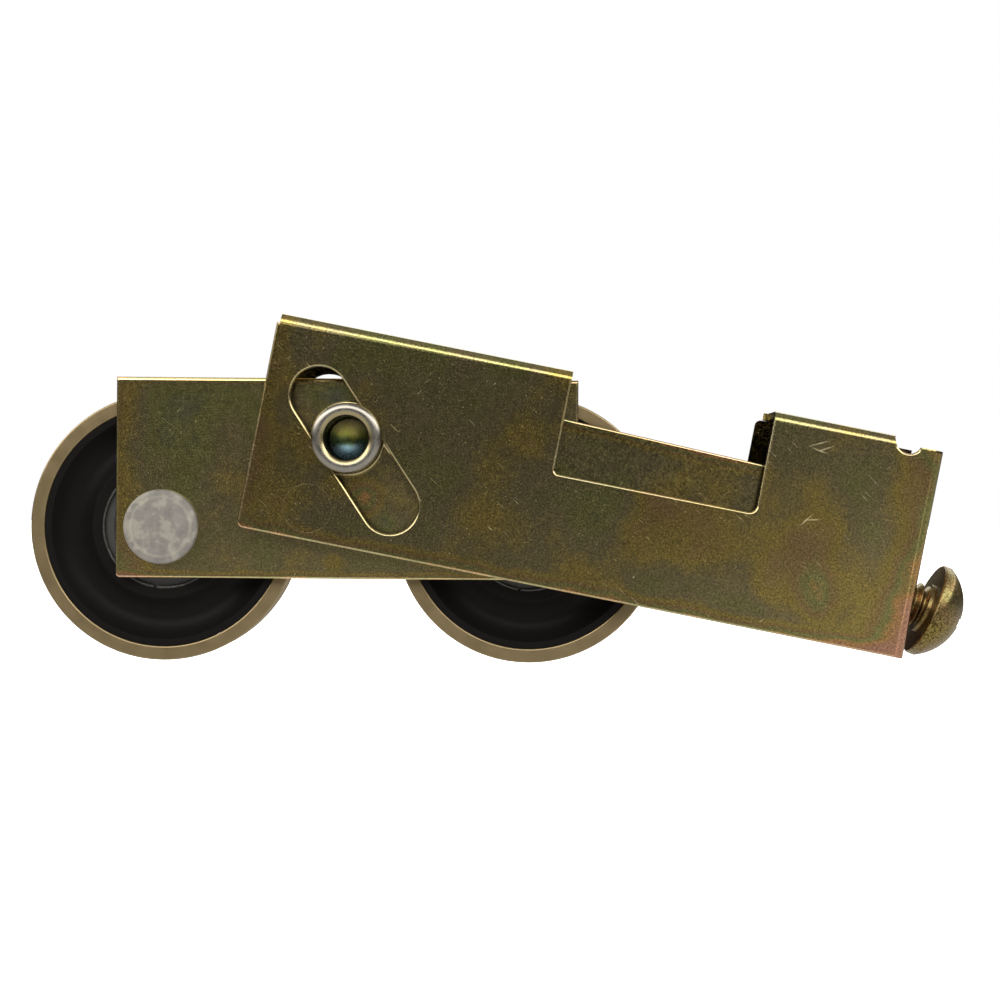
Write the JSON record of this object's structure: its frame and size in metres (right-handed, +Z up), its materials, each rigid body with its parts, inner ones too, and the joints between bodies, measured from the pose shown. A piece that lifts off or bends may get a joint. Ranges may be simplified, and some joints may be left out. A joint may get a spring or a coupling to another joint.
{
  "type": "sliding door roller",
  "caption": "Tandem steel patio door roller: ball-bearing wheels in a rocking carriage inside a folded housing, with slanted slots and an end screw that set its height.",
  "frame": {"origin": "on the track, midway between the two wheels, in the roller's middle plane", "axes": "+X along the track towards the adjusting screw, +Y across the roller away from the side with the rolled rivet end, +Z up; the wheels are level and the housing leans on its stop"},
  "size_m": [0.1335, 0.0204, 0.0491],
  "materials": {
    "yellow_zinc": "yellow chromate zinc plate",
    "clear_zinc": "bright zinc plate",
    "dull_zinc": "dull mottled zinc",
    "wheel_steel": "turned steel",
    "black_hub": "satin black",
    "bearing_steel": "ground and hardened",
    "dark_shield": "dark satin"
  },
  "bodies": {
    "housing": {"housing": "yellow_zinc"},
    "pivot": {"pivot_rivet": "clear_zinc", "pivot_spacer": "clear_zinc", "front_pivot_washer": "clear_zinc", "back_pivot_washer": "clear_zinc"},
    "carriage": {"carriage_frame": "yellow_zinc", "left_axle_rivet": "dull_zinc", "left_front_axle_spacer": "clear_zinc", "left_back_axle_spacer": "clear_zinc", "left_bearing_inner_ring": "bearing_steel", "right_axle_rivet": "dull_zinc", "right_front_axle_spacer": "clear_zinc", "right_back_axle_spacer": "clear_zinc", "right_bearing_inner_ring": "bearing_steel"},
    "yoke": {"adjusting_yoke": "yellow_zinc"},
    "screw": {"adjusting_screw": "yellow_zinc"},
    "left_wheel": {"left_tyre": "wheel_steel", "left_hub": "black_hub", "left_snap_ring": "bearing_steel", "left_bearing_outer_ring": "bearing_steel", "left_front_shield": "dark_shield", "left_back_shield": "dark_shield"},
    "left_balls": {"left_bearing_balls": "bearing_steel", "left_ball_cage": "bearing_steel"},
    "right_wheel": {"right_tyre": "wheel_steel", "right_hub": "black_hub", "right_snap_ring": "bearing_steel", "right_bearing_outer_ring": "bearing_steel", "right_front_shield": "dark_shield", "right_back_shield": "dark_shield"},
    "right_balls": {"right_bearing_balls": "bearing_steel", "right_ball_cage": "bearing_steel"}
  },
  "joints": [
    {"name": "height_adjust", "type": "slide", "parent": "housing", "child": "pivot", "axis": [0.5476, 0, -0.8368], "range_m": [0, 0.011]},
    {"name": "carriage_rock", "type": "hinge", "parent": "pivot", "child": "carriage", "pos_m": [0.0003, 0, 0.03163], "axis": [0, 1, 0], "range_deg": [0, 32]},
    {"name": "yoke_swing", "type": "hinge", "parent": "pivot", "child": "yoke", "pos_m": [0.0003, 0, 0.03163], "axis": [0, -1, 0], "range_deg": [0, 6]},
    {"name": "screw_turn", "type": "hinge", "parent": "housing", "child": "screw", "pos_m": [0.07985, 0, 0.00943], "axis": [0.9164, 0, -0.4003], "range_deg": [0, 2245]},
    {"name": "left_wheel_spin", "type": "hinge", "parent": "carriage", "child": "left_wheel", "pos_m": [-0.02595, 0, 0.01905], "axis": [0, 1, 0], "continuous": true},
    {"name": "left_balls_orbit", "type": "hinge", "parent": "carriage", "child": "left_balls", "pos_m": [-0.02595, 0, 0.01905], "axis": [0, 1, 0], "continuous": true},
    {"name": "right_wheel_spin", "type": "hinge", "parent": "carriage", "child": "right_wheel", "pos_m": [0.02595, 0, 0.01905], "axis": [0, 1, 0], "continuous": true},
    {"name": "right_balls_orbit", "type": "hinge", "parent": "carriage", "child": "right_balls", "pos_m": [0.02595, 0, 0.01905], "axis": [0, 1, 0], "continuous": true}
  ],
  "couplings": [
    {"joint": "yoke_swing", "follows": "height_adjust", "rad_per_m": 8.2613},
    {"joint": "screw_turn", "follows": "height_adjust", "rad_per_m": 3546.3},
    {"joint": "left_balls_orbit", "follows": "left_wheel_spin", "ratio": 0.6118},
    {"joint": "right_balls_orbit", "follows": "right_wheel_spin", "ratio": 0.6118}
  ]
}
